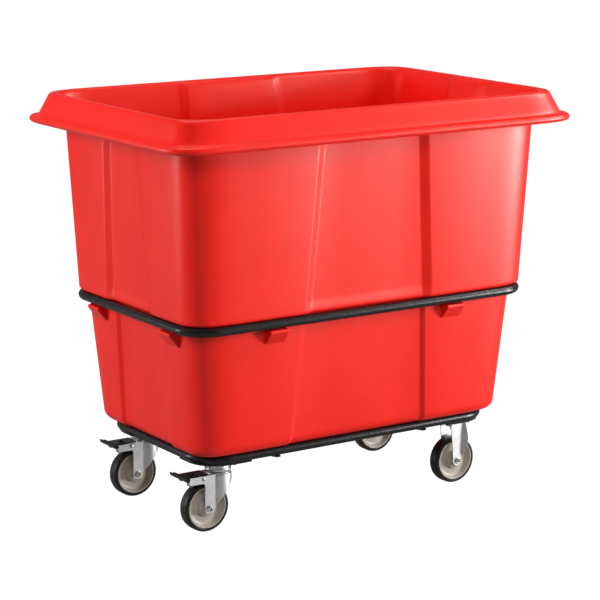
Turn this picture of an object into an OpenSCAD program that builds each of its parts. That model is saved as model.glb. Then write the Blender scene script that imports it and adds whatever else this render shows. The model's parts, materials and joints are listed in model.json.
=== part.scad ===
// Bulk cart: tapered plastic tub with a rolled rim, two tube rings and four casters.
// Length along X, width along Y, up along Z. Origin on the floor, under the middle.

/* [Tub] */
// Length over the rim
overall_l = 970; // [880:1:1300]
// Width over the rim
overall_w = 656; // [600:1:900]
// Height from the floor to the top of the rim
overall_h = 853; // [700:1:1100]
// Plastic wall thickness
wall_t = 5; // [4:0.5:7]
// How far the rim stands out past the end walls
end_overhang = 55.7; // [50:0.1:70]
// How far the rim stands out past the side walls
side_overhang = 58.5; // [50:0.1:70]
// Inward lean of the upper walls, millimetres per millimetre of height
upper_draft = 0.045; // [0.02:0.005:0.08]
// Inward lean of the lower walls, millimetres per millimetre of height
lower_draft = 0.078; // [0.04:0.002:0.1]
// Height of the tub below the shoulder
lower_h = 276.5; // [220:0.5:340]
// Width of the shoulder step
shoulder_step = 15.4; // [12:0.1:20]
// Rounding of the shoulder's outer edge
shoulder_r = 8; // [4:0.5:10]
// Vertical corner radius of the upper walls
upper_corner_r = 62; // [50:1:80]
// Vertical corner radius of the lower walls
lower_corner_r = 60; // [52:1:80]
// Rounding between the walls and the floor
floor_edge_r = 22; // [14:1:30]

/* [Rim] */
// Plan corner radius of the rim's lip
lip_corner_r = 68; // [60:1:90]
// Height of the rim from its bead to its top
rim_h = 62; // [52:1:80]
// Height of the bead along the lip
bead_h = 16; // [12:0.5:20]
// Distance from the lip to the top of the rim
ridge_inset = 38; // [34:1:44]

/* [Recessed panels] */
// Depth of the panels above the shoulder
upper_panel_d = 8; // [3:0.5:12]
// Depth of the panels below the shoulder
lower_panel_d = 6; // [3:0.5:10]
// Half width of the side panel under the rim
side_panel_top = 132; // [110:1:180]
// Half width of the side panel just below the shoulder
side_panel_low = 150; // [120:1:190]
// Half width of the end panel under the rim
end_panel_top = 68; // [50:1:90]
// Half width of the end panel just below the shoulder
end_panel_low = 82; // [60:1:100]
// Widening of the panels towards the floor, millimetres per millimetre
panel_splay = 0.07; // [0.03:0.01:0.1]
// Width of the panels' sloped edges above the shoulder
upper_ramp = 19; // [10:1:26]
// Width of the panels' sloped edges below the shoulder
lower_ramp = 10; // [6:1:16]

/* [Lugs] */
// Width of the moulded lugs under the ring
lug_w = 46; // [30:1:60]
// Height of the lugs
lug_h = 30; // [20:1:40]
// How far the lugs stand out of the wall
lug_reach = 20; // [14:1:26]
// Distance of the side lugs from the panel edge
side_lug_gap = 61; // [50:1:90]
// Distance of the end lugs from the panel edge
end_lug_gap = 54; // [40:1:70]

/* [Frame] */
// Outer diameter of the ring tubes
tube_d = 19; // [16:1:25]
// Wall of the ring tubes
tube_wall = 1.5; // [1:0.1:2.5]
// Corner radius of the middle ring, on its centreline
mid_ring_r = 60; // [54:0.5:70]
// Corner radius of the base ring, on its centreline
base_ring_r = 63.5; // [56:0.5:80]
// Distance from the lower wall's foot to the base ring's centreline
base_ring_inset = 25; // [20:0.5:30]
// Thickness of the corner plates
corner_plate_t = 3.5; // [3:0.5:6]
// Length of the corner plates along the cart
corner_plate_l = 110; // [100:1:130]
// Width of the corner plates across the cart
corner_plate_w = 99; // [90:1:115]
// Width of the cross bars
cross_bar_w = 32; // [25:1:50]
// Thickness of the cross bars
cross_bar_t = 4; // [3:0.5:6]
// Distance of the cross bars from the middle of the cart
cross_bar_x = 183; // [150:1:200]
// Distance of the tub bolts from the cart's centreline
tub_bolt_y = 120; // [80:1:150]
// Diameter of the tub bolts
tub_bolt_d = 8; // [6:1:10]

/* [Casters] */
// Wheel diameter
wheel_d = 101.6; // [84:0.1:125]
// Width of the tyre
tyre_w = 28; // [24:1:34]
// Thickness of the tyre
tyre_t = 7.3; // [5:0.1:10]
// Distance of the caster centres from the base ring's end centreline
caster_inset_x = 58; // [54:0.5:66]
// Distance of the caster centres from the base ring's side centreline
caster_inset_y = 48; // [46:0.5:56]
// Trail of the swivel wheels behind the kingpin
trail = 32.5; // [28:0.5:36]
// Diameter of the axle bolts
axle_d = 8; // [6:1:10]
// Thickness of the fork steel
fork_t = 2.5; // [2:0.1:3.5]
// Thickness of the caster plates
plate_t = 2.5; // [2:0.1:4]
// Bolt spacing along the cart
bolt_pitch_x = 56; // [54:1:60]
// Bolt spacing across the cart
bolt_pitch_y = 40; // [38:1:44]
// Diameter of the caster bolts
caster_bolt_d = 6; // [5:1:6]
// Diameter of the bearing balls
ball_d = 6; // [5:0.5:6.5]
// Outer radius of the swivel head
head_r = 28; // [27:0.5:30]
// Width of the swivel forks' legs
leg_w = 20; // [18:0.5:22]
// Length of the pedal arms past the legs
arm_l = 38.5; // [36:0.5:42]
// Height of the pedal arms
arm_h = 15.5; // [14:0.5:17]
// Width of the rigid forks' legs at the plate
rigid_top_w = 31; // [28:0.5:36]
// Width of the rigid forks' flanges
flange_w = 12.5; // [8:0.5:14]

/* [Brake] */
// Half width of the pedal's tread bar
pedal_half_w = 33; // [26:1:36]
// Distance of the pedal's free edge past the arms
pedal_over = 13; // [10:1:18]
// Diameter of the pedal pin
pedal_pin_d = 6; // [5:0.5:7]
// Height of the brake shoe's teeth over the tread with the brake off
shoe_gap = 8; // [7.8:0.1:9.5]

/* [Hidden] */
$fn = 48;

red = [0.86, 0.12, 0.09];
black_coat = [0.06, 0.06, 0.06];
zinc = [0.74, 0.75, 0.76];
steel_dark = [0.45, 0.45, 0.46];
rubber = [0.05, 0.05, 0.05];
hub_grey = [0.56, 0.53, 0.49];
nylon = [0.85, 0.84, 0.78];

// Clearances: welded seats, bolted stacks, bolt holes, turning fits, moving neighbours
weld_gap = 0.2;
stack_gap = 0.1;
hole_gap = 0.3;
run_gap = 0.05;
move_gap = 0.4;

// Wheel and fork
wheel_r = wheel_d / 2;
wheel_z = wheel_r;
rim_r = wheel_r - tyre_t;
axle_r = axle_d / 2;
bushing_t = 3;
bushing_r = axle_r + bushing_t;
hub_over = 2.6;
leg_play = 1.9;
hub_half = tyre_w / 2 + hub_over;
leg_in = hub_half + leg_play;
leg_out = leg_in + fork_t;
axle_head_h = 2.6;
axle_head_r = axle_r + 2.6;
axle_nut_h = 6;
axle_nut_r = axle_r * 1.8;

// Heights of the stack, from the wheel up
crown_over_wheel = 18.4;
race_gap = 4;
crown_top = wheel_d + crown_over_wheel;
crown_low = crown_top - fork_t;
race_low = crown_top + race_gap;
race_h = 16;
plate_low = race_low + race_h + stack_gap;
plate_top = plate_low + plate_t;
corner_low = plate_top + stack_gap;
corner_top = corner_low + corner_plate_t;
base_ring_z = corner_top + weld_gap + tube_d / 2;
tub_z = base_ring_z + tube_d / 2 + weld_gap;

// Tub levels
shoulder_z = tub_z + lower_h;
lip_z = overall_h - rim_h;
rim_wall_z = lip_z + 4;
wall_top_x = overall_l / 2 - end_overhang;
wall_top_y = overall_w / 2 - side_overhang;
foot_z = tub_z + floor_edge_r;
shoulder_top = shoulder_z + shoulder_r;
shelf_fillet = 3;
wall_break = 24;
arc_n = 8;

function upper_inset(z) = (lip_z - z) * upper_draft;
function lower_inset(z) = upper_inset(shoulder_top) + shoulder_step + (shoulder_z - z) * lower_draft;
function lower_x(z) = wall_top_x - lower_inset(z);
function lower_y(z) = wall_top_y - lower_inset(z);

// Rings, to a hundredth of a millimetre so that their straight and bent lengths meet exactly
function hundredth(v) = round(v * 100) / 100;
mid_ring_z = shoulder_z - weld_gap - tube_d / 2;
mid_ring_x = hundredth(lower_x(mid_ring_z + tube_d / 2) + weld_gap + tube_d / 2);
mid_ring_y = hundredth(lower_y(mid_ring_z + tube_d / 2) + weld_gap + tube_d / 2);
base_ring_x = hundredth(lower_x(foot_z) - base_ring_inset);
base_ring_y = hundredth(lower_y(foot_z) - base_ring_inset);
caster_x = base_ring_x - caster_inset_x;
caster_y = base_ring_y - caster_inset_y;
lug_top = mid_ring_z - tube_d / 2 - 1.3;

// Panel edges follow the walls down
side_edge_mid = side_panel_top + (lip_z - shoulder_top) * panel_splay;
end_edge_mid = end_panel_top + (lip_z - shoulder_top) * panel_splay;
side_lug_x = side_edge_mid + side_lug_gap;
end_lug_y = end_edge_mid + end_lug_gap;
function side_edge(z) = z >= shoulder_z ? side_panel_top + (lip_z - z) * panel_splay
                                        : side_panel_low + (shoulder_z - z) * panel_splay;
function end_edge(z) = z >= shoulder_z ? end_panel_top + (lip_z - z) * panel_splay
                                       : end_panel_low + (shoulder_z - z) * panel_splay;
function ramp(z) = z >= shoulder_z ? upper_ramp : lower_ramp;

// One level of the tub: half sizes, height, corner radius, panel depth
function wall_level(inset, z, r, depth) = [wall_top_x - inset, wall_top_y - inset, z, r, depth];
function rim_level(e, z, depth) = [
    overall_l / 2 - e, overall_w / 2 - e, z,
    lip_corner_r + (upper_corner_r - lip_corner_r) * e / end_overhang, depth];
function arc_levels(cx, cz, rx, rz, a0, a1, n) = [
    for (i = [0 : n]) let (a = a0 + (a1 - a0) * i / n) [cx + rx * cos(a), cz + rz * sin(a)]];

// Skin of the tub below the rim; t is 0 for the outside and the wall for the inside
function foot_levels(t) = let (r = floor_edge_r - t, c = lower_inset(foot_z) + floor_edge_r) [
    for (p = arc_levels(0, foot_z, r, r, -90, 0, 5))
        wall_level(c - p[0], p[1], lower_corner_r - floor_edge_r + p[0], lower_panel_d)];
function shoulder_levels(t) = let (
    ro = shoulder_r - t / 2, zi = shoulder_z + t, inner = lower_inset(shoulder_z) + t,
    outer = upper_inset(shoulder_top) + t) concat(
    [wall_level(inner, zi - shelf_fillet, lower_corner_r - t, lower_panel_d)],
    [wall_level(inner - shelf_fillet, zi, lower_corner_r - t, lower_panel_d)],
    [for (p = arc_levels(0, zi + ro, ro, ro, -90, 0, 3))
        wall_level(outer + ro - p[0], p[1], upper_corner_r - t, lower_panel_d)],
    [upper_level(shoulder_top + wall_break, t)]);
function upper_level(z, t) = wall_level(upper_inset(z) + t, z, upper_corner_r - t, upper_panel_d);
function rim_foot(t) = upper_level(rim_wall_z, t);

bead_r = bead_h / 2;
outside = concat(foot_levels(0), shoulder_levels(0), [rim_foot(0)]);
rim_under = [
    rim_level(ridge_inset + 7, overall_h - 15, upper_panel_d * 0.6),
    rim_level(ridge_inset + 3, overall_h - wall_t - 1.5, upper_panel_d * 0.2),
    rim_level(ridge_inset - 3, overall_h - wall_t - 1.5, 0),
    rim_level(19, lip_z + bead_h - 1, 0),
    rim_level(14, lip_z + 2, 0)];
rim_bead = [
    for (p = arc_levels(bead_r, lip_z + bead_r, -bead_r, -bead_r, 90, -90, 8))
        rim_level(p[0], p[1], 0)];
rim_slope = [rim_level(14.5, lip_z + bead_h + 1, 0), rim_level(ridge_inset - 7, overall_h - 4.5, 0)];
rim_top = [
    rim_level(ridge_inset - 4.5, overall_h - 1.3, 0),
    rim_level(ridge_inset, overall_h, 0),
    rim_level(ridge_inset + 5, overall_h - 0.9, upper_panel_d * 0.1),
    rim_level(ridge_inset + 9.5, overall_h - 4, upper_panel_d * 0.3),
    rim_level(ridge_inset + 12, overall_h - 10, upper_panel_d * 0.6)];
inside_down = concat(foot_levels(wall_t), shoulder_levels(wall_t), [rim_foot(wall_t)]);
inside = [for (i = [len(inside_down) - 1 : -1 : 0]) inside_down[i]];
tub_levels = concat(outside, rim_under, rim_bead, rim_slope, rim_top, inside);

function corner(cx, cy, r, a0) = [
    for (i = [0 : arc_n]) let (a = a0 + 90 * i / arc_n) [cx + r * cos(a), cy + r * sin(a)]];
function outline(l) = let (
    hx = l[0], hy = l[1], z = l[2], r = l[3], d = l[4],
    se = side_edge(z), ee = end_edge(z), si = se - ramp(z), ei = ee - ramp(z)) concat(
    [[hx, -ee], [hx - d, -ei], [hx - d, ei], [hx, ee]], corner(hx - r, hy - r, r, 0),
    [[se, hy], [si, hy - d], [-si, hy - d], [-se, hy]], corner(r - hx, hy - r, r, 90),
    [[-hx, ee], [d - hx, ei], [d - hx, -ei], [-hx, -ee]], corner(r - hx, r - hy, r, 180),
    [[-se, -hy], [-si, d - hy], [si, d - hy], [se, -hy]], corner(hx - r, r - hy, r, 270));

module skin(levels) {
    loops = [for (l = levels) [for (p = outline(l)) [p[0], p[1], l[2]]]];
    n = len(loops[0]);
    last = len(loops) - 1;
    points = [for (l = loops) for (p = l) p];
    sides = [for (k = [0 : last - 1]) for (i = [0 : n - 1]) let (j = (i + 1) % n)
        each [[k * n + i, (k + 1) * n + i, (k + 1) * n + j], [k * n + i, (k + 1) * n + j, k * n + j]]];
    bottom = [for (i = [0 : n - 1]) i];
    top = [for (i = [n - 1 : -1 : 0]) last * n + i];
    polyhedron(points, concat(sides, [bottom, top]), convexity = 8);
}

// Wedge under the ring, rooted in the wall; x is outward, z is up from the lug's top
module lug() {
    root = -wall_t / 2;
    foot = 2;
    face = 7;
    break_edge = 1;
    translate([0, lug_w / 2, lug_top]) rotate([90, 0, 0]) linear_extrude(lug_w)
        polygon([
            [root - lug_h * lower_draft, -lug_h], [foot, -lug_h],
            [lug_reach, -face], [lug_reach, -break_edge], [root, 0]]);
}

module tub_bolt_places() {
    for (sx = [-1, 1], sy = [-1, 1]) translate([sx * cross_bar_x, sy * tub_bolt_y, 0]) children();
}

module tub() {
    wall_x = lower_x(lug_top);
    wall_y = lower_y(lug_top);
    color(red) difference() {
        union() {
            skin(tub_levels);
            for (sx = [-1, 1], sy = [-1, 1]) {
                translate([sx * wall_x, sy * end_lug_y, 0]) rotate(sx > 0 ? 0 : 180) lug();
                translate([sx * side_lug_x, sy * wall_y, 0]) rotate(sy * 90) lug();
            }
        }
        tub_bolt_places() translate([0, 0, tub_z - 1])
            cylinder(d = tub_bolt_d + 2 * hole_gap, h = wall_t + 2);
    }
}

// Closed rounded rectangle of tube, with a weld vent under each long side
module tube_section() {
    difference() {
        circle(d = tube_d);
        circle(d = tube_d - 2 * tube_wall);
    }
}
module tube_ring(hx, hy, r, z) {
    vent_r = 2.5;
    difference() {
        translate([0, 0, z]) {
            for (s = [0, 180]) rotate(s) {
                translate([r - hx, hy, 0]) rotate([90, 0, 90])
                    linear_extrude(2 * (hx - r)) tube_section();
                translate([hx, hy - r, 0]) rotate([90, 0, 0])
                    linear_extrude(2 * (hy - r)) tube_section();
            }
            for (sx = [-1, 1], sy = [-1, 1]) translate([sx * (hx - r), sy * (hy - r), 0])
                rotate(sx > 0 ? (sy > 0 ? 0 : 270) : (sy > 0 ? 90 : 180))
                rotate_extrude(angle = 90) translate([r, 0]) tube_section();
        }
        for (s = [-1, 1]) translate([0, s * hy, z - tube_d]) cylinder(r = vent_r, h = tube_d);
    }
}
module mid_ring() {
    color(black_coat) tube_ring(mid_ring_x, mid_ring_y, mid_ring_r, mid_ring_z);
}
module base_ring() {
    color(black_coat) tube_ring(base_ring_x, base_ring_y, base_ring_r, base_ring_z);
}

bar_top = base_ring_z - tube_d / 2 - weld_gap;
bar_low = bar_top - cross_bar_t;
module cross_bar(sx) {
    half = base_ring_y + tube_d / 4;
    color(black_coat) difference() {
        translate([sx * cross_bar_x - cross_bar_w / 2, -half, bar_low])
            cube([cross_bar_w, 2 * half, cross_bar_t]);
        tub_bolt_places() translate([0, 0, bar_low - 1])
            cylinder(d = tub_bolt_d + 2 * hole_gap, h = cross_bar_t + 2);
    }
}

// Hardware stack that clamps the tub floor to the cross bars
floor_top = tub_z + wall_t;
washer_t = 1.6;
tub_nut_h = 6.5;
module tub_bolts() {
    dome_w = tub_bolt_d * 1.15;
    head_h = 4;
    dome_r = dome_w * 1.6;
    thread_over = 4;
    low = bar_low - washer_t - tub_nut_h - thread_over;
    color(zinc) tub_bolt_places() {
        translate([0, 0, floor_top + stack_gap]) intersection() {
            cylinder(r = dome_w, h = head_h);
            translate([0, 0, head_h - dome_r]) sphere(r = dome_r);
        }
        translate([0, 0, low]) cylinder(d = tub_bolt_d, h = floor_top + stack_gap + 1 - low);
    }
}
module ring_at(z, ro, ri, h) {
    translate([0, 0, z]) difference() {
        cylinder(r = ro, h = h);
        translate([0, 0, -1]) cylinder(r = ri, h = h + 2);
    }
}
module hex_nut(z, rc, ri, h) {
    translate([0, 0, z]) difference() {
        intersection() {
            cylinder(r = rc, h = h, $fn = 6);
            translate([0, 0, h / 2]) sphere(r = rc * 1.02);
        }
        translate([0, 0, -1]) cylinder(r = ri, h = h + 2);
    }
}
module tub_washers() {
    color(zinc) tub_bolt_places()
        ring_at(bar_low - stack_gap - washer_t, tub_bolt_d, tub_bolt_d / 2 + hole_gap, washer_t);
}
module tub_spacers() {
    low = bar_top + stack_gap;
    color(steel_dark) tub_bolt_places()
        ring_at(low, tub_bolt_d * 0.9, tub_bolt_d / 2 + hole_gap, tub_z - stack_gap - low);
}
module tub_nuts() {
    color(zinc) tub_bolt_places()
        hex_nut(bar_low - 2 * stack_gap - washer_t - tub_nut_h, tub_bolt_d * 0.92,
            tub_bolt_d / 2 + run_gap, tub_nut_h);
}

// Corner plates and the caster bolts
module at_caster(sx, sy) {
    translate([sx * caster_x, sy * caster_y, 0]) children();
}
module bolt_places() {
    for (i = [-1, 1], j = [-1, 1])
        translate([i * bolt_pitch_x / 2, j * bolt_pitch_y / 2, 0]) children();
}
bolt_hole_d = caster_bolt_d + 2 * hole_gap;
king_r = 5;
king_head_r = 9;
module corner_plate(sx, sy) {
    edge_over = 2;
    x1 = base_ring_x + edge_over;
    y1 = base_ring_y + edge_over;
    x0 = x1 - corner_plate_l;
    y0 = y1 - corner_plate_w;
    r = base_ring_r;
    color(black_coat) difference() {
        scale_xy(sx, sy) translate([0, 0, corner_low]) linear_extrude(corner_plate_t) union() {
            translate([x0, y0]) square([x1 - r - x0, y1 - y0]);
            translate([x0, y0]) square([x1 - x0, y1 - r - y0]);
            intersection() {
                translate([x0, y0]) square([corner_plate_l, corner_plate_w]);
                translate([x1 - r, y1 - r]) circle(r = r);
            }
        }
        at_caster(sx, sy) translate([0, 0, corner_low - 1]) {
            bolt_places() cylinder(d = bolt_hole_d, h = corner_plate_t + 2);
            cylinder(r = king_head_r + 1, h = corner_plate_t + 2);
        }
    }
}
module scale_xy(sx, sy) {
    mirror([sx > 0 ? 0 : 1, 0, 0]) mirror([0, sy > 0 ? 0 : 1, 0]) children();
}
bolt_head_h = 3.8;
caster_nut_h = 5;
caster_bolt_r = caster_bolt_d * 0.95;
module all_caster_bolts() {
    for (sx = [-1, 1], sy = [-1, 1]) at_caster(sx, sy) bolt_places() children();
}
module caster_bolts() {
    thread_over = 3;
    low = plate_low - caster_nut_h - thread_over;
    seat = corner_top + stack_gap;
    color(zinc) all_caster_bolts() {
        translate([0, 0, seat]) cylinder(r = caster_bolt_r, h = bolt_head_h, $fn = 6);
        translate([0, 0, low]) cylinder(d = caster_bolt_d, h = seat + 1 - low);
    }
}
module caster_nuts() {
    color(zinc) all_caster_bolts()
        hex_nut(plate_low - stack_gap - caster_nut_h, caster_bolt_r,
            caster_bolt_d / 2 + run_gap, caster_nut_h);
}

// Caster plate with its bolt holes
plate_edge_x = 20;
plate_edge_y = 18;
module caster_plate() {
    l = bolt_pitch_x + plate_edge_x;
    w = bolt_pitch_y + plate_edge_y;
    r = 7;
    translate([0, 0, plate_low]) difference() {
        linear_extrude(plate_t) union() {
            translate([-l / 2 + r, -w / 2]) square([l - 2 * r, w]);
            translate([-l / 2, -w / 2 + r]) square([l, w - 2 * r]);
            for (i = [-1, 1], j = [-1, 1])
                translate([i * (l / 2 - r), j * (w / 2 - r)]) circle(r = r);
        }
        bolt_places() translate([0, 0, -1]) cylinder(d = bolt_hole_d, h = plate_t + 2);
        children();
    }
}
module swivel_plate(sy) {
    color(zinc) at_caster(-1, sy) caster_plate()
        translate([0, 0, -1]) cylinder(r = king_r + run_gap, h = plate_t + 2);
}

// Swivel bearing: pressed upper race, balls and riveted kingpin
ball_r = ball_d / 2;
ball_z = race_low + 6;
neck_r = 16.2;
ball_pitch = neck_r + 0.3 + ball_r;
ball_count = 16;
race_in = ball_pitch + ball_r + stack_gap;
race_out = head_r - 0.8;
module upper_race(sy) {
    top = race_low + race_h;
    color(zinc) at_caster(-1, sy) rotate_extrude() polygon([
        [race_in, race_low], [race_out - 1.4, race_low], [race_out - 0.4, race_low + 0.8],
        [race_out, race_low + 2.5], [race_out, race_low + 4.5], [race_out - 1, race_low + 7],
        [race_out - 3, race_low + 9.5], [race_out - 4, top], [king_r + run_gap, top],
        [king_r + run_gap, top - 3], [race_in, top - 3]]);
}
module bearing_balls(sy) {
    color(steel_dark) at_caster(-1, sy) for (i = [0 : ball_count - 1])
        rotate(i * 360 / ball_count) translate([ball_pitch, 0, ball_z]) sphere(r = ball_r);
}
king_foot_h = 4;
king_rivet_h = 3;
module kingpin(sy) {
    foot = crown_low - move_gap - king_foot_h;
    color(steel_dark) at_caster(-1, sy) {
        translate([0, 0, foot]) cylinder(r = king_head_r, h = king_foot_h);
        translate([0, 0, foot]) cylinder(r = king_r, h = plate_top + 1 - foot);
        translate([0, 0, plate_top + stack_gap])
            cylinder(r1 = king_head_r, r2 = king_head_r - king_rivet_h, h = king_rivet_h);
    }
}

// Swivel fork: round crown, slanted skirt at the front, flat legs and two pedal arms
leg_below_axle = 10;
leg_low = wheel_z - leg_below_axle;
leg_x = -trail;
leg_front = leg_x + leg_w / 2;
leg_rear = leg_x - leg_w / 2;
toe_r = 4;
arm_end = leg_rear - arm_l;
arm_low = crown_top - arm_h;
arm_nose_r = 9;
arm_fillet = 4;
skirt_meet = -sqrt(head_r * head_r - leg_out * leg_out) + fork_t + 1;
skirt_front_h = 9;
skirt_hem = 14;
neck_over_balls = 4;
neck_top = ball_z + neck_over_balls;
pin_back = 14;
pin_drop = 6;
pin_x = leg_x - pin_back;
pin_z = crown_top - pin_drop;
pin_r = pedal_pin_d / 2;
function arc_points(cx, cz, r, a0, a1) = arc_levels(cx, cz, r, r, a0, a1, 6);
module side_plate() {
    rotate([90, 0, 0]) linear_extrude(fork_t) difference() {
        polygon(concat(
            [[skirt_meet, crown_top], [skirt_meet, leg_low + skirt_hem]],
            arc_points(leg_front - toe_r, leg_low + toe_r, toe_r, 0, -90),
            arc_points(leg_rear + toe_r, leg_low + toe_r, toe_r, -90, -180),
            arc_points(leg_rear - arm_fillet, arm_low - arm_fillet, arm_fillet, 0, 90),
            arc_points(arm_end + arm_nose_r, arm_low + arm_nose_r, arm_nose_r, 270, 180),
            [[arm_end, crown_top]]));
        translate([leg_x, wheel_z]) circle(r = axle_r + run_gap);
        translate([pin_x, pin_z]) circle(r = pin_r + run_gap);
    }
}
module swivel_fork(sy) {
    skirt_rear = skirt_meet - fork_t;
    skirt_dip = 5;
    color(zinc) at_caster(-1, sy) difference() {
        union() {
            translate([0, leg_out, 0]) side_plate();
            translate([0, -leg_in, 0]) side_plate();
            intersection() {
                difference() {
                    translate([0, 0, leg_low]) cylinder(r = head_r, h = crown_top - leg_low);
                    translate([0, 0, leg_low - 1])
                        cylinder(r = head_r - fork_t, h = crown_low - leg_low + 1);
                }
                translate([0, head_r + 1, 0]) rotate([90, 0, 0])
                    linear_extrude(2 * head_r + 2) polygon([
                        [skirt_rear, leg_low + skirt_hem - skirt_dip],
                        [head_r + 1, crown_top - skirt_front_h],
                        [head_r + 1, crown_top], [skirt_rear, crown_top]]);
            }
            translate([-head_r - 2, -leg_out, crown_low]) cube([head_r + 2, 2 * leg_out, fork_t]);
            translate([0, 0, crown_low]) cylinder(r = neck_r, h = neck_top - crown_low);
        }
        translate([0, 0, crown_low - 1]) cylinder(r = king_r + run_gap, h = neck_top - crown_low + 2);
    }
}

// Brake: pedal turns on a pin between the arms and pushes a toothed shoe on the tread
pedal_t = 2.5;
ear_out = leg_in - 2 * move_gap;
ear_half = 7;
ear_low = pin_z - 6;
pedal_rise = 2;
pedal_top = crown_top + pedal_rise;
pedal_low = pedal_top - pedal_t;
tread_rear = arm_end - 1;
tread_front = pin_x + 13;
tread_bar_out = arm_end - pedal_over;
tread_bar_h = 6.5;
tread_bar_low = pedal_top - tread_bar_h;
tread_lip_h = 3;
tread_lip_z = pedal_top + tread_lip_h;
module pedal_side() {
    polygon([
        [pin_x + ear_half, ear_low], [tread_front, pedal_low], [tread_front, pedal_top],
        [tread_rear, pedal_top], [tread_rear, pedal_low],
        [pin_x - 2 * ear_half, pedal_low - 1], [pin_x - ear_half, ear_low]]);
}
module brake_pedal(sy) {
    nub = 12;
    nub_h = 3;
    bar_heel = tread_bar_out + 5;
    color(black_coat) at_caster(-1, sy) difference() {
        union() {
            for (s = [-1, 1]) translate([0, s > 0 ? ear_out : -ear_out + fork_t, 0])
                rotate([90, 0, 0]) linear_extrude(fork_t) pedal_side();
            translate([tread_rear, -ear_out, pedal_low])
                cube([tread_front - tread_rear, 2 * ear_out, pedal_t]);
            translate([0, pedal_half_w, 0]) rotate([90, 0, 0])
                linear_extrude(2 * pedal_half_w) polygon([
                    [tread_rear, pedal_low], [tread_rear, pedal_top],
                    [bar_heel, pedal_top], [tread_bar_out + 2, tread_lip_z],
                    [tread_bar_out, tread_lip_z], [tread_bar_out + 1, pedal_low - 1],
                    [bar_heel, tread_bar_low], [tread_rear - 3, tread_bar_low]]);
            translate([arm_end + nub + 2, -nub / 2, pedal_top - 1]) cube([nub, nub, nub_h + 1]);
        }
        translate([pin_x, ear_out + 1, pin_z]) rotate([90, 0, 0])
            cylinder(r = pin_r + run_gap, h = 2 * ear_out + 2);
    }
}
module brake_shoe(sy) {
    top = pedal_low - stack_gap;
    shoe_w = 18;
    teeth_x = pin_x - 19;
    tread_z = wheel_z + sqrt(wheel_r * wheel_r - pow(teeth_x - leg_x, 2));
    tip = tread_z + shoe_gap;
    shoe_t = 2;
    front = pin_x - 10;
    tooth = 1.5;
    color(steel_dark) at_caster(-1, sy) translate([0, shoe_w / 2, 0]) rotate([90, 0, 0])
        linear_extrude(shoe_w) polygon([
            [teeth_x - 7, top], [front, top], [front, top - shoe_t],
            [front - 6, top - 2 * tooth], [teeth_x + tooth, tip], [teeth_x, tip + tooth],
            [teeth_x - tooth, tip], [teeth_x - 2 * tooth, top - 2 * tooth]]);
}
module pedal_pin(sy) {
    head_h = 2;
    shank_over = 1.5;
    color(zinc) at_caster(-1, sy) translate([pin_x, 0, pin_z]) rotate([90, 0, 0]) {
        translate([0, 0, -leg_out - shank_over])
            cylinder(r = pin_r, h = 2 * (leg_out + shank_over));
        for (s = [0, 180]) rotate([s, 0, 0]) translate([0, 0, leg_out + stack_gap])
            cylinder(r1 = pin_r + 1, r2 = pin_r - 0.5, h = head_h);
    }
}

// Torsion spring coiled round the pedal pin
coil_turns = 5;
coil_steps = 12;
coil_half = 6;
wire_r = 0.5;
coil_r = pin_r + run_gap + wire_r + 0.35;
wire_sides = 6;
module brake_spring(sy) {
    n = coil_turns * coil_steps;
    pts = [for (i = [0 : n], k = [0 : wire_sides - 1]) let (
        a = 360 * i / coil_steps, b = 360 * k / wire_sides, q = coil_r + wire_r * cos(b))
        [q * cos(a), -coil_half + 2 * coil_half * i / n + wire_r * sin(b), q * sin(a)]];
    sides = [for (i = [0 : n - 1], k = [0 : wire_sides - 1]) let (
        m = (k + 1) % wire_sides, p = i * wire_sides, q = p + wire_sides)
        each [[p + k, q + k, q + m], [p + k, q + m, p + m]]];
    first = [for (k = [0 : wire_sides - 1]) k];
    last = [for (k = [wire_sides - 1 : -1 : 0]) n * wire_sides + k];
    color(steel_dark) at_caster(-1, sy) translate([pin_x, 0, pin_z])
        polyhedron(pts, concat(sides, [first, last]), convexity = 10);
}

// Wheels turn about Y; profiles are radius against width
module wheel_at(sx, sy) {
    at_caster(sx, sy) translate([sx < 0 ? leg_x : 0, 0, wheel_z]) rotate([90, 0, 0]) children();
}
module tyre(sx, sy) {
    half = tyre_w / 2;
    shoulder = 6;
    side_flat = 1.2;
    color(rubber) wheel_at(sx, sy) rotate_extrude() difference() {
        union() {
            translate([rim_r, -half + side_flat]) square([tyre_t - shoulder, tyre_w - 2 * side_flat]);
            translate([rim_r, -half + shoulder]) square([tyre_t, tyre_w - 2 * shoulder]);
            for (s = [-1, 1])
                translate([wheel_r - shoulder, s * (half - shoulder)]) circle(r = shoulder);
        }
        translate([rim_r + run_gap - 2 * shoulder, -half - 1]) square([2 * shoulder, tyre_w + 2]);
    }
}
module hub(sx, sy) {
    edge = tyre_w / 2 - 0.8;
    web = 3.2;
    boss = 18.5;
    flange = rim_r - 3.4;
    nose = bushing_r + 2.6;
    half_profile = [
        [rim_r, edge - 1], [rim_r - 0.8, edge], [flange + 0.8, edge], [flange, edge - 1],
        [flange - 3.6, web + 2.6], [flange - 6.6, web], [boss + 3, web], [boss + 1, web + 1],
        [boss, edge - 4], [boss - 1.5, edge - 2.5], [boss - 6, edge - 1.5],
        [nose + 0.6, hub_half - 0.6], [nose, hub_half], [bushing_r + run_gap, hub_half]];
    last = len(half_profile) - 1;
    other_half = [for (i = [last : -1 : 0]) [half_profile[i][0], -half_profile[i][1]]];
    color(hub_grey) wheel_at(sx, sy) rotate_extrude() polygon(concat(half_profile, other_half));
}
module bushing(sx, sy) {
    color(nylon) wheel_at(sx, sy) translate([0, 0, -hub_half]) difference() {
        cylinder(r = bushing_r, h = 2 * hub_half);
        translate([0, 0, -1]) cylinder(r = axle_r + run_gap, h = 2 * hub_half + 2);
    }
}
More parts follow.
